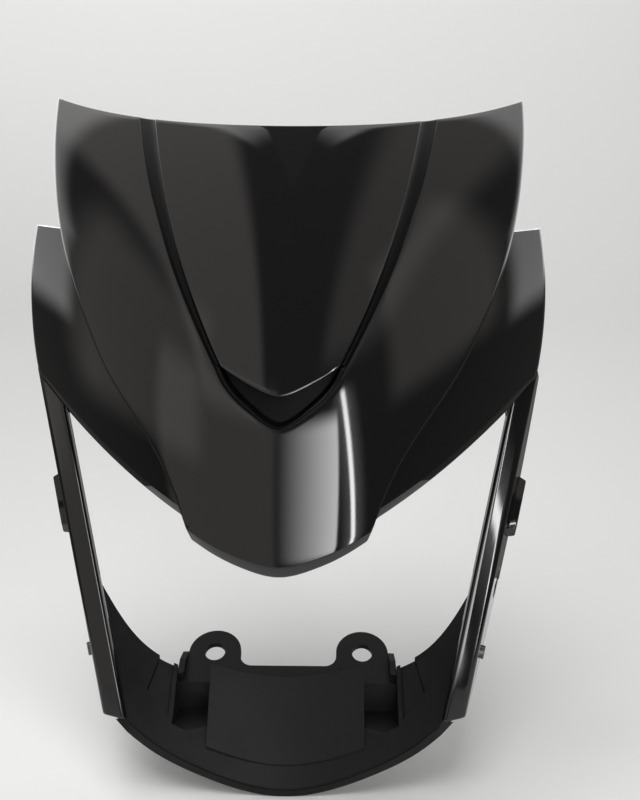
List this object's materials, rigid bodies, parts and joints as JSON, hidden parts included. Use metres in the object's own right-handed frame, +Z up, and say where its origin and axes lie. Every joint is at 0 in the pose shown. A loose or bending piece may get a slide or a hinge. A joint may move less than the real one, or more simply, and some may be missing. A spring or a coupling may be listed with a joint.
{
  "type": "headlight cowl",
  "caption": "Motorcycle headlight cowl: gloss black visor with swept wings and side arms round an open lamp bay, and a matt lower cover with holed mounting ears.",
  "frame": {"origin": "midway between the two ear holes, on the upper face of the leaning ear plate", "axes": "+Z up as fitted to the vehicle, -Y towards the front, +X to the viewer's right from the front; X = 0 is the plane of symmetry"},
  "size_m": [0.3314, 0.1634, 0.4342],
  "materials": {
    "front_gloss": "polished black paint",
    "cover_matt": "fine-grained moulded black",
    "screw_steel": "dark plated steel"
  },
  "bodies": {
    "root": {"front_cowl": "front_gloss", "lower_cover": "cover_matt", "cover_screws": "screw_steel"}
  },
  "joints": []
}
